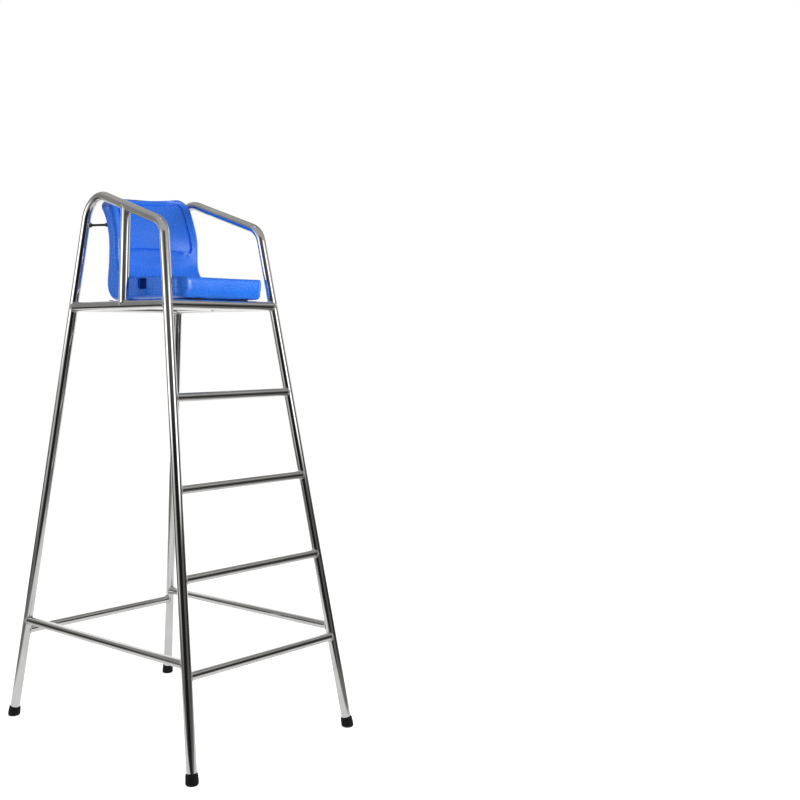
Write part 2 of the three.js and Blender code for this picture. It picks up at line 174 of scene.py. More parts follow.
def addNode(tree, kind, inputs=None, **settings):
    # an input is a plain value, or the socket that feeds it
    node = tree.nodes.new("ShaderNode" + kind)
    for name, value in settings.items():
        setattr(node, name, value)
    for socket, value in (inputs or {}).items():
        if isinstance(value, bpy.types.NodeSocket):
            tree.links.new(value, node.inputs[socket])
        else:
            node.inputs[socket].default_value = value
    return node.outputs


def newTree(owner):
    owner.use_nodes = True
    owner.node_tree.nodes.clear()
    return owner.node_tree


def newMaterial(name):
    material = bpy.data.materials.new(name)
    return material, newTree(material)


def setSurface(tree, shader, inputs):
    addNode(tree, "OutputMaterial", {"Surface": addNode(tree, shader, inputs)[0]})


def addNoise(tree, vector, look):
    scale, detail, roughness = look
    inputs = {"Vector": vector, "Scale": scale, "Detail": detail, "Roughness": roughness}
    return addNode(tree, "TexNoise", inputs)["Fac"]


def addRamp(tree, value, stops):
    ramp = tree.nodes.new("ShaderNodeValToRGB")
    elements = ramp.color_ramp.elements
    for element, (position, colour) in zip(elements, (stops[0], stops[-1])):
        element.position = position
        element.color = (*colour, 1)
    for position, colour in stops[1:-1]:
        elements.new(position).color = (*colour, 1)
    tree.links.new(value, ramp.inputs["Fac"])
    return ramp.outputs["Color"]


def addRange(tree, value, target, source=(0.25, 0.75)):
    inputs = {"Value": value, "From Min": source[0], "From Max": source[1],
              "To Min": target[0], "To Max": target[1]}
    return addNode(tree, "MapRange", inputs)["Result"]


def addMath(tree, operation, *values):
    return addNode(tree, "Math", dict(enumerate(values)), operation=operation)["Value"]


def objectPlace(tree):
    return addNode(tree, "TexCoord")["Object"]


def addBump(tree, height, distance):
    return addNode(tree, "Bump", {"Height": height, "Distance": distance})["Normal"]


steelDials = {
    "colours": [(0.3, (0.72, 0.725, 0.73)), (0.6, (0.83, 0.835, 0.84))],
    "drawLines": (90.0, 1.2, 1.0),  # fine marks run along the tube: many round it, few along it
    "lines": (3.0, 6.0, 0.7),
    "lineDepth": 0.000012,
    "handling": (9.0, 3.0, 0.55),
    "roughness": (0.045, 0.13),
    "roughFrom": (0.12, 0.42),  # where lines times handling lies
}


def makeSteel():
    d = steelDials
    material, tree = newMaterial("polishedSteel")
    coords = addNode(tree, "TexCoord")
    along = addNode(tree, "Mapping", {"Vector": coords["UV"], "Scale": d["drawLines"]})["Vector"]
    lines = addNoise(tree, along, d["lines"])
    patches = addNoise(tree, coords["Object"], d["handling"])
    wear = addMath(tree, "MULTIPLY", lines, patches)
    setSurface(tree, "BsdfPrincipled", {
        "Base Color": addRamp(tree, patches, d["colours"]),
        "Roughness": addRange(tree, wear, d["roughness"], d["roughFrom"]),
        "Metallic": 1.0,
        "Normal": addBump(tree, lines, d["lineDepth"]),
    })
    return material


# painted shade: the underside's colours are a darker blue than the plastic's, standing in for the shade
# under the seat
undersideShadeDials = {
    "colours": [(0.3, (0.011, 0.070, 0.380)), (0.7, (0.013, 0.080, 0.420))],
    "grain": (700.0, 4.0, 0.55),
    "relief": 0.0003,
    "facing": -0.97,  # faces that look down by this much and lie this near the seat's base have it
    "reach": 0.002,
}


def makeUndersideWithShade():
    # coarse and matt, as it left the mould; its blue is darker than the seat's own as painted shade under
    # the seat and in the pockets
    d = undersideShadeDials
    material, tree = newMaterial("coarseShadedUnderside")
    grain = addNoise(tree, objectPlace(tree), d["grain"])
    setSurface(tree, "BsdfDiffuse", {
        "Color": addRamp(tree, grain, d["colours"]),
        "Normal": addBump(tree, grain, d["relief"]),
    })
    return material


plasticDials = {
    "colours": [(0.3, (0.018, 0.182, 0.860)), (0.7, (0.021, 0.200, 0.920))],
    "tint": (14.0, 5.0, 0.55),
    "peel": (160.0, 2.0, 0.55),
    "grain": (1900.0, 2.0, 0.55),
    "relief": 0.000013,
    "roughness": ("peel", 0.20, 0.31),
    "surface": {"IOR": 1.49, "Specular IOR Level": 0.6},
}
weldDials = {
    "colours": [(0.36, (0.58, 0.59, 0.63)), (0.44, (0.72, 0.69, 0.63)), (0.52, (0.80, 0.80, 0.80))],
    "tint": (60.0, 3.0, 0.55),
    "grain": (1500.0, 3.0, 0.55),
    "relief": 0.00008,
    "roughness": ("grain", 0.16, 0.34),
    "surface": {"Metallic": 1.0},
}
rubberDials = {
    "colours": [(0.35, (0.004, 0.004, 0.005)), (0.75, (0.016, 0.016, 0.016))],
    "tint": (90.0, 6.0, 0.65),
    "grain": (1400.0, 2.0, 0.55),
    "relief": 0.0001,
    "roughness": ("tint", 0.5, 0.8),
    "surface": {"Specular IOR Level": 0.2},
}
paintDials = {
    "colours": [(0.40, (0.006, 0.006, 0.007)), (0.72, (0.020, 0.020, 0.022))],
    "tint": (70.0, 6.0, 0.6),
    "grain": (260.0, 3.0, 0.55),
    "relief": 0.00005,
    "roughness": ("grain", 0.42, 0.62),
    "surface": {},
}
platingDials = {
    **paintDials,
    "colours": [(0.40, (0.10, 0.10, 0.11)), (0.72, (0.24, 0.24, 0.25))],
    "roughness": ("grain", 0.28, 0.48),
    "surface": {"Metallic": 1.0},
}


def makeFinish(name, d):
    # the tint gives the colour, the grain and the peel the relief, and one of them the roughness
    material, tree = newMaterial(name)
    place = objectPlace(tree)
    noises = {key: addNoise(tree, place, d[key]) for key in ("tint", "grain", "peel") if key in d}
    follows, *roughness = d["roughness"]
    height = addMath(tree, "ADD", noises["peel"], noises["grain"]) if "peel" in d else noises["grain"]
    setSurface(tree, "BsdfPrincipled", {
        "Base Color": addRamp(tree, noises["tint"], d["colours"]),
        "Roughness": addRange(tree, noises[follows], roughness),
        "Normal": addBump(tree, height, d["relief"]),
        **d["surface"],
    })
    return material


steel = makeSteel()
shadedUnderside = makeUndersideWithShade()
plastic = makeFinish("blueMouldedPlastic", plasticDials)
weld = makeFinish("weldBead", weldDials)
rubber = makeFinish("blackRubber", rubberDials)
paint = makeFinish("blackPaint", paintDials)
plating = makeFinish("dullPlating", platingDials)
print("materials made")


# Points of the frame: each hoop lies in a plane that leans inwards

def onHoop(side, y, z):
    return Vector((side * (chairDials["footHalfWidth"] - chairDials["sideLean"] * z), y, z))


def onLeg(side, end, z):
    footY, lean = chairDials["legs"][end]
    return onHoop(side, footY + lean * z, z)


def legAxis(side, end):
    return (onLeg(side, end, 1.0) - onLeg(side, end, 0.0)).normalized()


def onArm(side, y):
    return onHoop(side, y, chairDials["armHeight"] + chairDials["armSlope"] * y)


def lineThrough(start, end):
    return start, (end - start).normalized()


def railLine(side):
    return lineThrough(*(onLeg(side, end, railHeight) for end in (-1, 1)))


# Side hoops

hoopDials = {"sides": 56, "bendSteps": 26, "startUp": 0.010}


def bendPoints(before, corner, after, radius):
    back = (before - corner).normalized()
    ahead = (after - corner).normalized()
    half = back.angle(ahead) / 2
    centre = corner + (back + ahead).normalized() * (radius / sin(half))
    start = corner + back * (radius / tan(half)) - centre
    axis = start.cross(corner + ahead * (radius / tan(half)) - centre).normalized()
    turn, steps = pi - 2 * half, hoopDials["bendSteps"]
    return [centre + Matrix.Rotation(turn * i / steps, 3, axis) @ start for i in range(steps + 1)]


def hoopPath(side):
    # the armrest's line meets the front leg's line at the knee and the rear one's at the shoulder
    d, starts, corners = chairDials, [], []
    for end, (footY, lean) in d["legs"].items():
        starts.append(onLeg(side, end, 0) + legAxis(side, end) * hoopDials["startUp"])
        height = (d["armHeight"] + d["armSlope"] * footY) / (1 - d["armSlope"] * lean)
        corners.append(onLeg(side, end, height))
    (front, rear), (knee, shoulder) = starts, corners
    return [front, *bendPoints(front, knee, shoulder, d["frontBend"]),
            *bendPoints(knee, shoulder, rear, d["rearBend"]), rear]


def sweptTube(path, radius, sides):
    directions = []
    for i, point in enumerate(path):
        before, after = path[max(i - 1, 0)], path[min(i + 1, len(path) - 1)]
        inward = (point - before).normalized() if i else (after - point).normalized()
        outward = (after - point).normalized() if i < len(path) - 1 else inward
        directions.append((inward + outward).normalized())
    right, up = crossVectors(directions[0])
    rings, along, travelled = [], [], 0.0
    for i, point in enumerate(path):
        if i:
            travelled += (point - path[i - 1]).length
            turn = directions[i - 1].rotation_difference(directions[i])
            right, up = turn @ right, turn @ up
        rings.append(circle(point, right, up, radius, sides))
        along.append(travelled)
    return solidShape(rings, along)


for sideName, side in sideSigns.items():
    hoop = sweptTube(hoopPath(side), tubeRadius, hoopDials["sides"])
    makePiece(f"{sideName}_side_hoop", hoop, [steel])
print("side hoops swept")


# Cross tubes: each end is coped to the tube that it meets, with a rippled bead round the joint

copeDials = {"sides": 48, "sink": 0.0004, "plainFrom": 0.04}
beadDials = {
    "radius": 0.0026,
    "sides": 12,
    "ringsPerRipple": 5,
    "rippleLength": 0.0034,
    "seamStretch": 1.1,  # the seam's length against the plain circle
    "ripple": 0.16,
    "wander": 0.0004,
}
dice = random.Random(7)


def offLine(point, line):
    # from the nearest point of a line to this one
    offset = point - line[0]
    return offset - line[1] * offset.dot(line[1])


def meetHost(point, direction, host, hostRadius, towardsEnd):
    # where a line along the cross tube reaches the host tube's skin
    offset, axis = offLine(point, host), host[1]
    slope = direction - axis * direction.dot(axis)
    a, b, c = slope.dot(slope), 2 * offset.dot(slope), offset.dot(offset) - hostRadius ** 2
    root = sqrt(max(b * b - 4 * a * c, 0.0))
    reach = (-b - root) / (2 * a) if towardsEnd else (-b + root) / (2 * a)
    return point + direction * reach


def addBead(shape, centre, direction, radius, host, towardsEnd):
    d, perRipple = beadDials, beadDials["ringsPerRipple"]
    right, up = crossVectors(direction)
    ripples = round(2 * pi * radius * d["seamStretch"] / d["rippleLength"])
    count = ripples * perRipple
    seam = [meetHost(point, direction, host, tubeRadius, towardsEnd)
            for point in circle(centre, right, up, radius, count)]
    wobble = [dice.uniform(-1, 1) * d["wander"] for _ in range(ripples)]
    rings, along, travelled = [], [], 0.0
    for i, point in enumerate(seam):
        after = seam[(i + 1) % count]
        ahead = (after - seam[i - 1]).normalized()
        out = offLine(point, (centre, direction)).normalized() + offLine(point, host).normalized()
        out.normalize()
        out = (out - ahead * out.dot(ahead)).normalized()
        share = i % perRipple / perRipple
        low, high = wobble[i // perRipple], wobble[(i // perRipple + 1) % ripples]
        swell = d["radius"] * (1 + d["ripple"] * sin(pi * share)) + low + (high - low) * share
        rings.append(circle(point, out, ahead.cross(out), swell, d["sides"]))
        along.append(travelled)
        travelled += (after - point).length
    along.append(travelled)
    addRings(shape, rings, along, slot=1, loop=True)


def copedTube(node, radius, ends, hosts):
    # ends are points on the tube's own axis, a host is a point and a direction of the other axis
    length, direction = (ends[1] - ends[0]).length, (ends[1] - ends[0]).normalized()
    right, up = crossVectors(direction)
    skin, plain = tubeRadius - copeDials["sink"], copeDials["plainFrom"]
    centres = [ends[0], ends[0] + direction * plain, ends[1] - direction * plain, ends[1]]
    rings = [circle(centre, right, up, radius, copeDials["sides"]) for centre in centres]
    rings[0] = [meetHost(point, direction, hosts[0], skin, False) for point in rings[0]]
    rings[3] = [meetHost(point, direction, hosts[1], skin, True) for point in rings[3]]
    shape = newShape()
    addRings(shape, rings, [0.0, plain, length - plain, length])
    addBead(shape, ends[0], direction, radius, hosts[0], False)
    addBead(shape, ends[1], direction, radius, hosts[1], True)
    makePiece(node, shape, [steel, weld])


def tubeBetween(node, height, radius, *corners):
    # level tube from leg to leg, a corner is a side and an end
    hosts = [(onLeg(*corner, height), legAxis(*corner)) for corner in corners]
    copedTube(node, radius, [host[0] for host in hosts], hosts)


for name, height in chairDials["rungHeights"].items():
    tubeBetween(f"{name}_rung", height, stepRadius, (-1, -1), (1, -1))
for name, end in endSigns.items():
    tubeBetween(f"{name}_stretcher", chairDials["frontStretcherHeight"], stepRadius, (-1, end), (1, end))
    tubeBetween(f"{name}_seat_rail", railHeight, tubeRadius, (-1, end), (1, end))
for name, side in sideSigns.items():
    tubeBetween(f"{name}_stretcher", chairDials["sideStretcherHeight"], stepRadius, (side, -1), (side, 1))
    tubeBetween(f"{name}_seat_rail", railHeight, tubeRadius, (side, -1), (side, 1))

strutEnds = [onHoop(-1, chairDials["strutFootY"], railHeight), onArm(-1, chairDials["strutTopY"])]
armLine = lineThrough(*(onArm(-1, footY) for footY, lean in chairDials["legs"].values()))
copedTube("arm_strut", tubeRadius, strutEnds, [railLine(-1), armLine])

supportEnds = [onHoop(side, chairDials["supportY"], railHeight) for side in (-1, 1)]
for point in supportEnds:
    point.z += chairDials["supportRise"]
copedTube("seat_support_tube", chairDials["supportRadius"], supportEnds, [railLine(-1), railLine(1)])
print("cross tubes coped and welded")


# Rubber feet: barrel-shaped caps, level at the floor

footDials = {
    "height": 0.034,
    "sole": 0.0150,
    "soleRise": 0.008,  # height of the sole's rounded edge
    "belly": 0.0202,
    "rim": 0.0184,
    "rimRound": (0.0012, 0.0015),  # inwards and downwards
    "bore": 0.0160,
    "boreDrop": 0.0004,
    "ribHeights": (0.012, 0.0165, 0.021),
    "ribDepth": 0.0005,
    "ribWidth": 0.0007,
    "squareFrom": 0.012,  # from here up the rings lie square to the leg
    "sides": 64,
    "steps": (8, 39, 6),  # of the sole's edge, the wall and the rim
}


def footProfile():
    d = footDials
    soleSteps, wallSteps, rimSteps = d["steps"]
    rimIn, rimDown = d["rimRound"]
    wallTop = d["height"] - rimDown
    points = []
    for angle in quarterAngles(soleSteps):
        radius = d["sole"] + (d["belly"] - d["sole"]) * sin(angle)
        points.append((radius, d["soleRise"] * (1 - cos(angle))))
    for i in range(1, wallSteps + 1):
        share = i / wallSteps
        height = d["soleRise"] + (wallTop - d["soleRise"]) * share
        radius = d["belly"] + (d["rim"] - d["belly"]) * share ** 2
        for rib in d["ribHeights"]:
            radius -= d["ribDepth"] * exp(-((height - rib) / d["ribWidth"]) ** 2)
        points.append((radius, height))
    for angle in quarterAngles(rimSteps)[1:]:
        points.append((d["rim"] - rimIn * (1 - cos(angle)), wallTop + rimDown * sin(angle)))
    points.append((d["bore"], d["height"] - d["boreDrop"]))
    return points


def makeFoot(node, side, end):
    base, axis = onLeg(side, end, 0), legAxis(side, end)
    rings, along = [], []
    for radius, height in footProfile():
        square = min(height / footDials["squareFrom"], 1.0)
        ring = circle(Vector(), Vector((1, 0, 0)), Vector((0, 1, 0)), radius, footDials["sides"])
        for offset in ring:
            offset.z = -(offset.x * axis.x + offset.y * axis.y) / axis.z * square
        rings.append([base + offset + axis * height for offset in ring])
        along.append(height)
    shape = newShape()
    addRings(shape, rings, along)
    addCap(shape, rings[0], flip=True)
    makePiece(node, shape, [rubber])


for endName, end in endSigns.items():
    for sideName, side in sideSigns.items():
        makeFoot(f"{endName}_{sideName}_foot", side, end)
print("feet turned")


# Seat: hollow moulding lofted along its rim, from the front lip to the top of the back.
# Guide points are depth and height over the seat's base, and the rim's have its half width before them.

seatDials = {
    "base": 1.4406,
    "rim": [(0.176, -0.275, 0.066), (0.175, -0.185, 0.069), (0.173, -0.080, 0.072), (0.172, 0.006, 0.075),
            (0.172, 0.050, 0.091), (0.173, 0.067, 0.124), (0.174, 0.069, 0.160), (0.175, 0.069, 0.208),
            (0.174, 0.079, 0.256), (0.170, 0.095, 0.306), (0.165, 0.114, 0.353)],
    "dish": [(-0.275, 0.066), (-0.185, 0.060), (-0.080, 0.055), (0.010, 0.054), (0.068, 0.070),
             (0.094, 0.108), (0.100, 0.154), (0.101, 0.208), (0.109, 0.256), (0.123, 0.306),
             (0.140, 0.353)],
    "under": [(-0.270, 0), (-0.183, 0), (-0.076, 0), (0.036, 0), (0.106, 0.003), (0.130, 0.030),
              (0.124, 0.124), (0.122, 0.208), (0.134, 0.256), (0.160, 0.306), (0.194, 0.353)],
    "panCorner": 0.041,
    "lip": (0.010, 0.017),  # rounding of the front edge: how far back and how far down
    "topCorner": 0.044,
    "topEdge": 0.004,
    "underCorner": 0.017,
    "underLip": (0.013, 0.034),
    "roll": {"pan": 0.005, "back": 0.013, "least": 0.0015},
    "nose": {"roll": 0.007, "rollDown": 0.016, "reach": (0.035, 0.080)},  # fuller front corners
    "limits": {"corner": 0.5, "roll": 0.4, "rollDown": 0.55},  # shares of the thickness
    "wingTaper": 0.14,
    "backBlend": (0.230, 0.330),  # distances along the rim where the pan turns into the back
    "dishPower": 2.3,
    "partingDepth": 0.035,  # from the rim down to the moulding's parting step
    "partingStep": 0.0018,
    "partingProfile": [(0.7, 0.0006), (0.0, 0.0008), (0.0, 0.002)],  # share of the step, depth below it
    "leastWall": {"above": 0.0005, "below": 0.0025, "clear": 0.002},  # what the step leaves of the side
    "wallShares": (0.33, 0.66, 0.9, 1.0),
    "underShares": (0.75, 0.5, 0.25, 0.0),
    "dip": {"depth": 0.0065, "halfWidth": 0.122, "reach": 0.095},
    "tilt": {"left": 0.0115, "right": 0.0044},  # rise of the top edge at the dip's ends
}
panelDials = {
    "top": 0.019,  # distances down from the top edge
    "bottom": 0.176,
    "topHalf": 0.132,
    "bottomHalf": 0.146,
    "arch": 0.014,  # how far the lower corners hang below the middle
    "corner": 0.020,
    "grooveWidth": 0.0024,
    "grooveDepth": 0.0046,
    "shoulder": 0.0007,  # raised edge on both sides of the groove
    "shoulderWidth": 1.2,  # in groove widths
}
plateDials = {"width": 0.064, "height": 0.028, "depth": 0.0014, "distance": 0.066, "edge": 0.0008}
loftDials = {
    "perSpan": 60,  # points of a guide curve from one guide point to the next
    "arcSteps": 8,
    "panSteps": (14, 8),  # of the front's corner and under edge
    "topSteps": (14, 6),  # of the top's corner and edge
    "spacing": 0.006,
    "grooveSpacing": 0.0006,
    "grooveMargin": 0.006,
    "edgeStep": 0.0004,
    "merge": 0.00035,
    "endInset": 0.003,
    "columns": (18, 40, 6),  # inside the groove, across it and outside
    "crowding": {"inside": 0.022, "outside": 0.0058, "most": 0.93, "share": 0.3},
}


def between(t, low, high, a, b):
    return (high - t) / (high - low) * a + (t - low) / (high - low) * b


def catmullRom(points):
    # centripetal spline through the guide points
    knots = np.array(points, float)
    knots = np.vstack([2 * knots[0] - knots[1], knots, 2 * knots[-1] - knots[-2]])
    curve = []
    for i in range(1, len(knots) - 2):
        p0, p1, p2, p3 = knots[i - 1:i + 3]
        steps = [0.0]
        for a, b in ((p0, p1), (p1, p2), (p2, p3)):
            steps.append(steps[-1] + sqrt(np.linalg.norm(b - a)))
        t0, t1, t2, t3 = steps
        for t in np.linspace(t1, t2, loftDials["perSpan"], endpoint=i == len(knots) - 3):
            middle = between(t, t1, t2, p1, p2)
            first = between(t, t0, t2, between(t, t0, t1, p0, p1), middle)
            second = between(t, t1, t3, middle, between(t, t2, t3, p2, p3))
            curve.append(between(t, t1, t2, first, second))
    return np.array(curve)


rimCurve, dishCurve, underCurve = (catmullRom(seatDials[key]) for key in ("rim", "dish", "under"))
rimTravel = np.concatenate([[0], np.cumsum(np.linalg.norm(np.diff(rimCurve, axis=0), axis=1))])
rimLength = rimTravel[-1]


def pick(curve, distance):
    return np.array([np.interp(distance, rimTravel, values) for values in curve.T])


def smoothShare(value, low, high):
    t = min(max((value - low) / (high - low), 0.0), 1.0)
    return t * t * (3 - 2 * t)


def drawnIn(distance, reach, amount=None):
    # how much a quarter of a circle or ellipse takes off at this distance from the end
    if distance >= reach:
        return 0.0
    return (amount or reach) * (1 - sqrt(1 - (1 - distance / reach) ** 2))


def seatSection(distance, inset=0.0):
    d, limits = seatDials, seatDials["limits"]
    rim, dish, under = (pick(curve, distance) for curve in (rimCurve, dishCurve, underCurve))
    origin = rim[1:]
    under[1] = max(under[1], 0.0)
    inwards = under - origin
    thickness = np.linalg.norm(inwards)
    inwards /= thickness
    toTop = rimLength - distance
    halfWidth = rim[0] - drawnIn(distance, d["panCorner"]) - drawnIn(toTop, d["topCorner"])
    backShare = smoothShare(distance, *d["backBlend"])
    noseShare = 1 - smoothShare(distance, *d["nose"]["reach"])
    face = drawnIn(distance, *d["lip"]) + drawnIn(toTop, d["topEdge"]) + inset
    underDepth = thickness - drawnIn(distance, *d["underLip"]) - drawnIn(toTop, d["topEdge"]) - inset
    room = underDepth - face
    roll = d["roll"]["pan"] + (d["roll"]["back"] - d["roll"]["pan"]) * backShare - inset
    roll = max(roll + (d["nose"]["roll"] - roll) * noseShare, d["roll"]["least"])
    rollDown = roll + (d["nose"]["rollDown"] - roll) * noseShare
    corner = min(d["underCorner"] - inset, limits["corner"] * room)
    return {
        "origin": origin,
        "inwards": inwards,
        "dishDepth": float(np.dot(dish - origin, inwards)),
        "halfWidth": halfWidth - inset,
        "face": face,
        "underDepth": underDepth,
        "roll": min(roll, limits["roll"] * room),
        "rollDown": min(rollDown, limits["rollDown"] * room),
        "taper": d["wingTaper"] * backShare,
        "corner": corner,
        "partingDepth": min(d["partingDepth"], underDepth - corner - d["leastWall"]["clear"]),
        "parting": d["partingStep"] * (1 - backShare),
        "topShare": 1 - smoothShare(toTop, 0, d["dip"]["reach"]),
        "toTop": toTop,
    }


def placeInSection(section, x, depth):
    d, tilt = seatDials["dip"], seatDials["tilt"]["left" if x < 0 else "right"]
    rise = tilt * x / d["halfWidth"] - d["depth"] * max(0.0, 1 - (x / d["halfWidth"]) ** 2)
    y, z = section["origin"] + section["inwards"] * depth
    return Vector((x, y, z + rise * section["topShare"] + seatDials["base"]))


def flattened(x, toTop):
    # distance from the top with the panel's arch taken out
    d = panelDials
    stretchShare = 1 + d["arch"] * (x / d["bottomHalf"]) ** 2 / (d["bottom"] - d["top"])
    return d["top"] + (toTop - d["top"]) / stretchShare


def panelHalf(toTop):
    d = panelDials
    share = min(max((toTop - d["top"]) / (d["bottom"] - d["top"]), 0.0), 1.0)
    return d["topHalf"] + (d["bottomHalf"] - d["topHalf"]) * share


def grooveDepth(x, toTop):
    # signed distance to the panel's rounded outline
    d = panelDials
    toTop = flattened(x, toTop)
    middle, halfHeight = (d["top"] + d["bottom"]) / 2, (d["bottom"] - d["top"]) / 2
    qx = abs(x) - (panelHalf(toTop) - d["corner"])
    qy = abs(toTop - middle) - (halfHeight - d["corner"])
    gap = hypot(max(qx, 0), max(qy, 0)) + min(max(qx, qy), 0) - d["corner"]
    away = abs(gap) / d["grooveWidth"]
    if away < 1:
        return d["grooveDepth"] * sqrt(1 - away ** 2)
    return -d["shoulder"] * sin(pi * min((away - 1) / d["shoulderWidth"], 1.0))


def plateDepth(x, toTop):
    d = plateDials
    gap = max(abs(x) - d["width"] / 2, abs(toTop - d["distance"]) - d["height"] / 2)
    return d["depth"] * smoothShare(-gap, 0, d["edge"])


def faceDepth(section, x):
    reach, toTop = min(abs(x) / (section["halfWidth"] - section["roll"]), 1.0), section["toTop"]
    dish = section["dishDepth"] * (1 - reach ** seatDials["dishPower"])
    return section["face"] + dish + (grooveDepth(x, toTop) + plateDepth(x, toTop))


def faceColumns(section):
    # columns crowd where the panel's groove runs
    d, (inside, across, outside) = loftDials["crowding"], loftDials["columns"]
    edge = section["halfWidth"] - section["roll"]
    line = min(panelHalf(section["toTop"]), d["most"] * edge)
    first = line - min(d["inside"], d["share"] * line)
    last = min(line + d["outside"], 0.5 * (line + edge))
    return np.concatenate([np.linspace(0, first, inside, endpoint=False),
                           np.linspace(first, last, across, endpoint=False),
                           np.linspace(last, edge, outside, endpoint=False)])


def sectionOutline(section):
    # right half of the outline: across the face, down the side and back along the underside
    d = seatDials
    keys = ("halfWidth", "face", "underDepth", "roll", "rollDown", "taper")
    halfWidth, face, underDepth, roll, rollDown, taper = (section[key] for key in keys)
    wallStart = face + rollDown
    parting = max(section["partingDepth"], wallStart + d["leastWall"]["above"])
    corner = min(section["corner"], underDepth - parting - d["leastWall"]["below"])
    wall = parting - wallStart
    lower = halfWidth - section["parting"] - taper * wall
    arc = quarterAngles(loftDials["arcSteps"])
    points = [(x, faceDepth(section, x)) for x in faceColumns(section)]
    points += [(halfWidth - roll + roll * sin(a), face + rollDown * (1 - cos(a))) for a in arc]
    points += [(halfWidth - taper * wall * share, wallStart + wall * share) for share in d["wallShares"]]
    step = section["parting"]
    points += [(lower + step * share, parting + drop) for share, drop in d["partingProfile"]]
    lower -= corner
    points += [(lower + corner * cos(a), underDepth - corner + corner * sin(a)) for a in arc]
    points += [(lower * share, underDepth) for share in d["underShares"]]
    return points


def quarterSteps(radius, count):
    return [radius * (1 - cos(angle)) for angle in quarterAngles(count)[1:]]


def seatDistances():
    # where the rings of the loft lie: they crowd at both ends, at the groove and at the plate's edges
    d, step = loftDials, loftDials["edgeStep"]
    fromFront = [0.0, step, *quarterSteps(seatDials["panCorner"], d["panSteps"][0]),
                 *quarterSteps(seatDials["underLip"][0], d["panSteps"][1])]
    fromTop = [0.0, step, *quarterSteps(seatDials["topCorner"], d["topSteps"][0]),
               *quarterSteps(seatDials["topEdge"], d["topSteps"][1])]
    marks = set(fromFront) | {rimLength - distance for distance in fromTop}
    low, high = rimLength - panelDials["bottom"], rimLength - panelDials["top"]
    corner, margin, fine = panelDials["corner"], d["grooveMargin"], d["grooveSpacing"]
    marks |= set(np.arange(high - corner, high + margin, fine))
    marks |= set(np.arange(low - margin, low + corner, fine))
    for half in (-plateDials["height"] / 2, plateDials["height"] / 2):
        edge = rimLength - plateDials["distance"] + half
        marks |= {edge + k * step for k in range(-2, 3)}
    marks |= set(np.linspace(0.0, rimLength, int(rimLength / d["spacing"])))
    kept = []
    for mark in sorted(mark for mark in marks if 0.0 <= mark <= rimLength):
        if not kept or mark - kept[-1] > d["merge"]:
            kept.append(mark)
    kept[-1] = rimLength
    return kept


def seatRing(distance, inset=0.0):
    section = seatSection(distance, inset)
    half = sectionOutline(section)
    outline = half + [(-x, depth) for x, depth in half[-2:0:-1]]
    return [placeInSection(section, x, depth) for x, depth in outline]


def seatLoft(distances):
    # a second ring inside each end keeps the flat end free of shading from the rounded edge
    first, last, inset = distances[0], distances[-1], loftDials["endInset"]
    rings = [seatRing(distance) for distance in distances]
    rings = [seatRing(first, inset), *rings, seatRing(last, inset)]
    return solidShape(rings, [first - inset, *distances, last + inset])


def weldedObject(name, shape):
    # closed mesh for a boolean cut
    made = meshObject(name, shape)
    bm = bmesh.new()
    bm.from_mesh(made.data)
    bmesh.ops.remove_doubles(bm, verts=bm.verts, dist=weldDistance)
    bmesh.ops.recalc_face_normals(bm, faces=bm.faces)
    bm.to_mesh(made.data)
    bm.free()
    return made


def cutAway(target, cutter):
    modifier = target.modifiers.new("cut", "BOOLEAN")
    modifier.operation = "DIFFERENCE"
    modifier.solver = "EXACT"
    modifier.object = cutter
    bpy.context.view_layer.objects.active = target
    bpy.ops.object.modifier_apply(modifier=modifier.name)
    bpy.data.objects.remove(cutter)


pocketDials = {
    "widthY": 0.045,
    "height": 0.034,
    "centreY": -0.065,
    "centreZ": 0.0495,
    "depth": 0.026,
    "corner": 0.004,
    "mouth": 0.0024,  # rounding of the edge where the pocket meets the side
    "draft": 0.0008,  # how much narrower the pocket gets towards its floor
    "paintedShadeFrom": 0.009,  # from here inwards the pocket has the underside's coarse finish and its painted shade
    "darkDraft": 0.00032,
    "outside": (0.006, 0.0002),  # the cut starts this far out and this much wider
    "alongRim": 0.35,  # where the seat's half width is taken, as a share of the rim
    "steps": (5, 6),  # of the roundings and of the corners
    "margin": 0.001,
}
pocketSkin = seatSection(pocketDials["alongRim"] * rimLength)["halfWidth"]


def pocketShape(side):
    # blind pocket in the side of the pan, rounded at its mouth and floor
    d = pocketDials
    roundSteps, cornerSteps = d["steps"]
    corner, mouth, (out, wider) = d["corner"], d["mouth"], d["outside"]
    arc = quarterAngles(roundSteps)
    profile = [(d["depth"] - corner * (1 - sin(a)), -d["draft"] - corner * (1 - cos(a)))
               for a in arc[::-1]]
    profile.append((d["paintedShadeFrom"], -d["darkDraft"]))
    profile += [(mouth * (1 - sin(a)), mouth * (1 - cos(a))) for a in arc]
    profile.append((-out, mouth + wider))
    centre = Vector((side * pocketSkin, d["centreY"], seatDials["base"] + d["centreZ"]))
    rings = []
    for reach, grow in profile:
        ring = []
        for quarter, (sy, sz) in enumerate(((1, 1), (-1, 1), (-1, -1), (1, -1))):
            for i in range(cornerSteps + 1):
                angle = pi / 2 * (quarter + i / cornerSteps)
                y = sy * (d["widthY"] / 2 - corner) + (corner + grow) * cos(angle)
                z = sz * (d["height"] / 2 - corner) + (corner + grow) * sin(angle)
                ring.append(centre + Vector((-side * reach, y, z)))
        rings.append(ring)
    return solidShape(rings, [reach for reach, grow in profile])


# faces under the seat, which take the coarse material with its painted shade
def underneath(face):
    d = undersideShadeDials
    return face.normal.z < d["facing"] and face.center.z < seatDials["base"] + d["reach"]


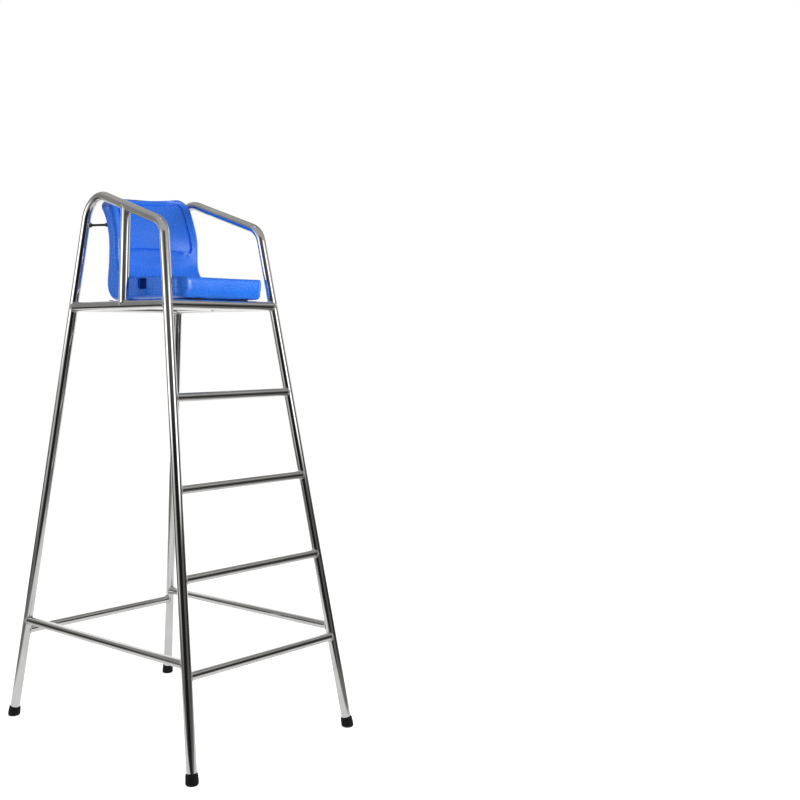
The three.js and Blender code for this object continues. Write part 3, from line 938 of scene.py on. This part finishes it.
def inShadedPocket(face):
    # the pocket's inner part, without the pan's face that lies over it; these faces get painted shade
    d = pocketDials
    reach = pocketSkin - abs(face.center.x)
    rise = face.center.z - seatDials["base"] - d["centreZ"]
    if not d["paintedShadeFrom"] < reach < d["depth"] + d["margin"] or (rise > 0 and face.normal.z > 0.5):
        return False
    across = abs(face.center.y - d["centreY"])
    return across < d["widthY"] / 2 + d["margin"] and abs(rise) < d["height"] / 2 + d["margin"]


seatObject = weldedObject("seatShell", seatLoft(seatDistances()))
for side in sideSigns.values():
    cutAway(seatObject, weldedObject("pocketCut", pocketShape(side)))
dress(seatObject, "seat_shell", [plastic, shadedUnderside], sharpAngles["cut"])
# faces underneath and inside the pockets take the darker material: painted shade on a coarse, matt finish
for face in seatObject.data.polygons:
    if underneath(face) or inShadedPocket(face):
        face.material_index = 1
print("seat lofted:", len(seatObject.data.polygons), "faces")


# Fixings under the seat: two flat straps on the rails, and a flanged bolt through each into the seat

upwards = Vector((0, 0, 1))
strapDials = {
    "width": 0.030,
    "thickness": 0.004,
    "x": 0.095,
    "frontY": -0.266,
    "rearY": 0.060,
    "base": 1.4363,
    "bevel": 0.0007,
    "hole": 0.0045,
    "holeReach": (-0.001, 0.006),
    "endSteps": 24,
}
boltRows = {"front": -0.212, "rear": -0.002}
threadDials = {"radius": 0.0040, "pitch": 0.00125, "depth": 0.0007, "stepsPerTurn": 8, "fadeSteps": 6,
               "sides": 24}


def stackRings(base, axis, levels, loop=False):
    # levels: distance along the axis, and the radius as a number or as a function of the angle
    up, right = crossVectors(axis)
    rings = []
    for height, radius in levels:
        ring = []
        for k in range(threadDials["sides"]):
            angle = 2 * pi * k / threadDials["sides"]
            reach = radius(angle) if callable(radius) else radius
            ring.append(base + axis * height + reach * (cos(angle) * right + sin(angle) * up))
        rings.append(ring)
    along = [height for height, radius in levels]
    if not loop:
        return solidShape(rings, along)
    shape = newShape()
    addRings(shape, rings, along + along[-1:], loop=True)
    return shape


def hexagonal(acrossFlats, limit):
    # hexagon with its corners cut back to a circle
    def radius(angle):
        turned = (angle + pi / 6) % (pi / 3) - pi / 6
        return min(acrossFlats / 2 / cos(turned), limit)
    return radius


def threadLevels(start, end):
    d = threadDials
    count = round((end - start) / d["pitch"] * d["stepsPerTurn"])
    levels = []
    for i in range(count + 1):
        height = start + (end - start) * i / count
        fade = min(1.0, i / d["fadeSteps"], (count - i) / d["fadeSteps"])

        def radius(angle, height=height, fade=fade):
            crest = 0.5 + 0.5 * cos(2 * pi * height / d["pitch"] - angle)
            return d["radius"] - d["depth"] * crest * fade
        levels.append((height, radius))
    return levels


def makeStrap(name, side):
    d = strapDials
    half, bevel, thickness = d["width"] / 2, d["bevel"], d["thickness"]
    rings = []
    for height, inset in ((0, bevel), (bevel, 0), (thickness - bevel, 0), (thickness, bevel)):
        ring, radius = [], half - inset
        for centreY, start in ((d["rearY"] - half, 0.0), (d["frontY"] + half, pi)):
            centre = Vector((side * d["x"], centreY, d["base"] + height))
            for i in range(d["endSteps"] + 1):
                angle = start + pi * i / d["endSteps"]
                ring.append(centre + radius * Vector((cos(angle), sin(angle), 0)))
        rings.append(ring)
    strap = weldedObject(f"{name}SeatStrap", solidShape(rings, [ring[0].z for ring in rings]))
    for y in boltRows.values():
        base, levels = Vector((side * d["x"], y, d["base"])), [(z, d["hole"]) for z in d["holeReach"]]
        hole = stackRings(base, upwards, levels)
        cutAway(strap, weldedObject("holeCut", hole))
    dress(strap, f"{name}_seat_strap", [paint], sharpAngles["cut"])


boltDials = {
    "standOff": 0.0003,  # gap between the flange and the strap
    "inSeat": 0.014,
    "flange": 0.0085,
    "flangeThickness": 0.0015,
    "flangeEdge": (0.0003, 0.0002),  # rounding below and above
    "headDepth": 0.0075,
    "headFace": (0.0030, 0.0056),
    "acrossFlats": 0.013,
    "crown": [(0.0003, 0.0063), (0.0009, 0.0069), (0.0016, 0.0076)],  # height over the face, radius
    "neck": [(-0.0006, 0.0, 0.0076), (-0.0002, 0.0006, 0.0079)],  # from the flange, wider by, radius
    "threadStart": 0.0004,
}


def makeBolt(node, side, y):
    d = boltDials
    base = Vector((side * strapDials["x"], y, strapDials["base"] - d["standOff"]))
    across, depth = d["acrossFlats"], d["headDepth"]
    flange, thickness, (below, above) = d["flange"], d["flangeThickness"], d["flangeEdge"]
    levels = [(-depth, radius) for radius in d["headFace"]]
    levels += [(rise - depth, hexagonal(across, radius)) for rise, radius in d["crown"]]
    levels += [(rise - thickness, hexagonal(across + wider, radius)) for rise, wider, radius in d["neck"]]
    levels += [(-thickness * 0.75, flange - below), (-thickness * 0.5, flange),
               (-above, flange), (0.0, flange - above), (0.0, threadDials["radius"])]
    top = strapDials["thickness"] + d["standOff"] + d["inSeat"]
    makePiece(node, stackRings(base, upwards, levels + threadLevels(d["threadStart"], top)), [plating])


for sideName, side in sideSigns.items():
    makeStrap(sideName, side)
    for rowName, y in boltRows.items():
        makeBolt(f"{rowName}_{sideName}_seat_bolt", side, y)
print("straps and bolts made")


# Back stays: a threaded stud from a boss on each rear leg to the seat's back, with a nut against it

stayDials = {
    "height": 1.692,
    "seatX": 0.160,
    "seatY": 0.132,
    "inSeat": 0.009,
    "boss": 0.0070,
    "bossReach": 0.0070,
    "bossSink": 0.0012,
    "bossEdge": 0.0009,
    "threadStart": 0.0002,
    "nutStandOff": 0.0045,
    "nutHeight": 0.006,
    "acrossFlats": 0.013,
    "bore": 0.0043,
    "nutFace": 0.0060,
    "nutCrown": [(0.0004, 0.0067), (0.0011, 0.0076)],  # height over the face, and radius
}


def makeStay(name, side):
    d = stayDials
    leg = onLeg(side, 1, d["height"])
    seat = Vector((side * d["seatX"], d["seatY"], d["height"]))
    along = (seat - leg).normalized()
    root, bossEnd = tubeRadius - d["bossSink"], tubeRadius + d["bossReach"]
    boss, edge = d["boss"], d["bossEdge"]
    levels = [(root, boss), (bossEnd - edge, boss), (bossEnd - edge * 0.3, boss - edge * 0.3),
              (bossEnd, boss - edge), (bossEnd, threadDials["radius"])]
    levels += threadLevels(bossEnd + d["threadStart"], (seat - leg).length + d["inSeat"])
    stay = stackRings(leg, along, levels)
    addBead(stay, leg, along, boss, (leg, legAxis(side, 1)), False)
    makePiece(f"{name}_back_stay", stay, [plating, weld])

    half, bore, face = d["nutHeight"] / 2, d["bore"], d["nutFace"]
    crown = [(rise - half, hexagonal(d["acrossFlats"], radius)) for rise, radius in d["nutCrown"]]
    levels = [(-half, bore), (-half, face), *crown]
    levels += [(-height, radius) for height, radius in levels[::-1]]
    nut = stackRings(seat - along * d["nutStandOff"], along, levels, loop=True)
    makePiece(f"{name}_stay_nut", nut, [plating])


for sideName, side in sideSigns.items():
    makeStay(sideName, side)
print("back stays made")


# Studio: a pale floor and soft light. The steel mirrors a shell of wall, floor and ceiling round the
# chair: a white backdrop behind it, two soft boxes in front, and a dark room between them.

studioDials = {
    "floorSize": 14.0,
    "floorColour": (0.80, 0.80, 0.80),
    "floorLift": 0.74,  # share of white that the floor has of itself near the chair
    "liftReach": (1.0, 2.6),  # from here to here the floor goes over into the white room
    "roomLight": [(0.0, 0.50), (0.5, 0.29), (1.0, 0.26)],  # soft light from below, level and above
    "lampDistance": 3.0,
    "aim": (0, 0, 1.2),
    "sheen": {"heading": 9, "size": (1.0, 0.8), "height": 1.34, "radiance": 16.0},
    "lamps": [
        {"heading": 40, "size": (1.9, 1.6), "height": 2.0, "radiance": 8.4},
        {"heading": -48, "size": (1.4, 1.2), "height": 1.8, "radiance": 1.9},
        {"heading": -128, "size": (2.4, 1.4), "height": 1.7, "radiance": 2.9},
    ],
}
shellDials = {
    "radius": 3.0,
    "height": 4.2,
    "columns": 180,
    "rows": {"floor": 18, "wall": 36, "roof": 5},
    "floorFrom": 0.02,
    "floorGap": 0.003,  # height of the shell over the real floor
    "roofHole": 0.3,
    "warmth": {"tones": (0.3, 0.8), "green": (0.99, 0.02), "blue": (0.98, 0.06)},  # dark tones are warmer
    "dim": 0.10,
    # heading and half width in degrees, bottom and top in metres, tone, softness in degrees and in metres
    "tones": [
        (0, 180, 2.3, 9.0, 0.43, 10, 1.1),
        (100, 42, 2.9, 9.0, 0.22, 24, 0.6),
        (78, 18, 0.5, 2.6, 0.50, 14, 0.5),
        (42, 19, -1.0, 1.35, 0.02, 12, 1.2),
        (-104, 20, 0.3, 1.4, 0.50, 14, 0.4),
        (-46, 27, -1.0, 3.4, 0.085, 10, 0.6),
        (-47, 27, -1.0, 1.9, 0.011, 10, 0.5),
        (-152, 26, 0.7, 3.9, 0.25, 14, 1.4),
        (-141, 9, -1.0, 1.1, 0.03, 6, 0.6),
        (136, 56, -1.0, 2.9, 1.0, 16, 0.6),
        (8, 15, 1.3, 2.65, 1.9, 12, 0.5),
        (-108, 20, 1.3, 2.45, 1.7, 14, 0.3),
    ],
    # the floor: a white patch round the chair, dark in front, dim to the sides, the backdrop behind
    "patch": {"tone": 0.70, "reach": (0.90, 1.40)},
    "dimFloor": 0.16,
    "darkFloor": {"tone": 0.02, "heading": -47, "reach": (20, 40)},
    "backdrop": {"tone": 1.0, "heading": 142, "reach": (50, 75)},
}


def angleBetween(heading, other):
    return abs((heading - other + 180) % 360 - 180)


def wallTone(heading, height):
    tone = shellDials["dim"]
    for middle, half, bottom, top, spot, softAngle, soft in shellDials["tones"]:
        away = angleBetween(heading, middle)
        cover = 1 - smoothShare(away, half - softAngle / 2, half + softAngle / 2)
        cover *= smoothShare(height, bottom - soft / 2, bottom + soft / 2)
        cover *= 1 - smoothShare(height, top - soft / 2, top + soft / 2)
        tone += (spot - tone) * cover
    return tone


def floorTone(heading, reach):
    d, outer = shellDials, shellDials["dimFloor"]
    for part in (d["darkFloor"], d["backdrop"]):
        away = angleBetween(heading, part["heading"])
        outer += (part["tone"] - outer) * (1 - smoothShare(away, *part["reach"]))
    return d["patch"]["tone"] + (outer - d["patch"]["tone"]) * smoothShare(reach, *d["patch"]["reach"])


def shellColour(tone):
    d = shellDials["warmth"]
    warm = 1 - smoothShare(tone, *d["tones"])
    return (tone, *(tone * (level - fall * warm) for level, fall in (d["green"], d["blue"])), 1)


def makeShell():
    d = shellDials
    radius, top, columns, count = d["radius"], d["height"], d["columns"], d["rows"]
    rows = [(reach, d["floorGap"]) for reach in np.linspace(d["floorFrom"], radius, count["floor"])]
    rows += [(radius, height) for height in np.linspace(0.0, top, count["wall"])[1:]]
    rows += [(reach, top) for reach in np.linspace(radius, d["roofHole"], count["roof"])[1:]]
    headings = [360 * k / columns - 180 for k in range(columns)]
    angles = [radians(heading) for heading in headings]
    shape, tones = newShape(), []
    addRings(shape, [[(reach * sin(angle), -reach * cos(angle), height) for angle in angles]
                     for reach, height in rows], range(len(rows)))
    for i, (reach, height) in enumerate(rows):
        onFloor = i < count["floor"]
        tones += [floorTone(heading, reach) if onFloor else wallTone(heading, height)
                  for heading in headings]
    shell = meshObject("studioShell", shape)
    layer = shell.data.color_attributes.new("tone", "FLOAT_COLOR", "POINT")
    for item, tone in zip(layer.data, tones):
        item.color = shellColour(tone)
    # only mirror images show the shell; soft light and the camera pass through it
    for ray in ("camera", "diffuse", "shadow", "volume_scatter"):
        setattr(shell, f"visible_{ray}", False)
    material, tree = newMaterial("studioShell")
    setSurface(tree, "Emission", {"Color": addNode(tree, "Attribute", attribute_name="tone")["Color"]})
    shell.data.materials.append(material)


def raySeen(tree, first, *others):
    # 1 for these kinds of ray and 0 for the rest
    path = addNode(tree, "LightPath")
    seen = path[first]
    for kind in others:
        seen = addMath(tree, "MAXIMUM", seen, path[kind])
    return seen


def makeFloor():
    d, half, shape = studioDials, studioDials["floorSize"] / 2, newShape()
    addCap(shape, [(-half, -half, 0), (half, -half, 0), (half, half, 0), (-half, half, 0)])
    floor = meshObject("studioFloor", shape)
    material, tree = newMaterial("studioFloor")
    seen = raySeen(tree, "Is Camera Ray", "Is Glossy Ray")
    reach = addNode(tree, "VectorMath", {0: objectPlace(tree)}, operation="LENGTH")["Value"]
    lift = addMath(tree, "MULTIPLY", seen, addRange(tree, reach, (d["floorLift"], 1.0), d["liftReach"]))
    diffuse = addNode(tree, "BsdfDiffuse", {"Color": (*d["floorColour"], 1)})[0]
    setSurface(tree, "AddShader", {0: diffuse, 1: addNode(tree, "Emission", {"Strength": lift})[0]})
    floor.data.materials.append(material)


def makeRoom():
    # white where the camera, a mirror or glass looks, and soft light that is strongest from below
    world = bpy.data.worlds.new("studio")
    bpy.context.scene.world = world
    tree = newTree(world)
    height = addNode(tree, "SeparateXYZ", {"Vector": addNode(tree, "TexCoord")["Generated"]})["Z"]
    stops = [(position, (tone, tone, tone)) for position, tone in studioDials["roomLight"]]
    light = addRamp(tree, addRange(tree, height, (0.0, 1.0), (-1.0, 1.0)), stops)
    soft = addNode(tree, "Background", {"Color": light})[0]
    white = addNode(tree, "Background", {"Color": (1, 1, 1, 1)})[0]
    seen = raySeen(tree, "Is Camera Ray", "Is Glossy Ray", "Is Transmission Ray")
    mixed = addNode(tree, "MixShader", {"Fac": seen, 1: soft, 2: white})[0]
    addNode(tree, "OutputWorld", {"Surface": mixed})


def makeLamp(name, box):
    light = bpy.data.lights.new(name, "AREA")
    light.shape = "RECTANGLE"
    light.size, light.size_y = box["size"]
    light.energy = box["radiance"] * pi * box["size"][0] * box["size"][1]
    lamp = addObject(name, light)
    angle, distance = radians(box["heading"]), studioDials["lampDistance"]
    lamp.location = (sin(angle) * distance, -cos(angle) * distance, box["height"])
    aim = Vector(studioDials["aim"]) - lamp.location
    lamp.rotation_euler = aim.to_track_quat("-Z", "Y").to_euler()
    lamp.visible_camera = False
    return lamp


def makeLamps():
    for i, box in enumerate(studioDials["lamps"]):
        makeLamp(f"softBox{i}", box).visible_glossy = False  # the shell holds its mirror image
    # the hot middle of the front soft box, which gives the seat its highlights
    sheen = makeLamp("seatSheen", studioDials["sheen"])
    sheen.visible_diffuse = False
    receivers = bpy.data.collections.new("seatSheenReceivers")
    receivers.objects.link(seatObject)
    sheen.light_linking.receiver_collection = receivers


makeFloor()
makeShell()
makeRoom()
makeLamps()
print("studio set up")


# Camera at the photograph's viewpoint

cameraDials = {
    "place": (-2.42861, -3.09312, 1.30949),
    "heading": 0.862,  # radians from +Y towards +X
    "tilt": -0.0536,
    "roll": -0.0031,
    "lens": 51.256,
    "sensor": 36.0,
}
camera = addObject("camera", bpy.data.cameras.new("camera"))
camera.data.lens = cameraDials["lens"]
camera.data.sensor_width = cameraDials["sensor"]
camera.matrix_world = (Matrix.Translation(cameraDials["place"])
                       @ Matrix.Rotation(-cameraDials["heading"], 4, "Z")
                       @ Matrix.Rotation(pi / 2 + cameraDials["tilt"], 4, "X")
                       @ Matrix.Rotation(cameraDials["roll"], 4, "Z"))
bpy.context.scene.camera = camera
bpy.context.scene.view_settings.view_transform = "Standard"
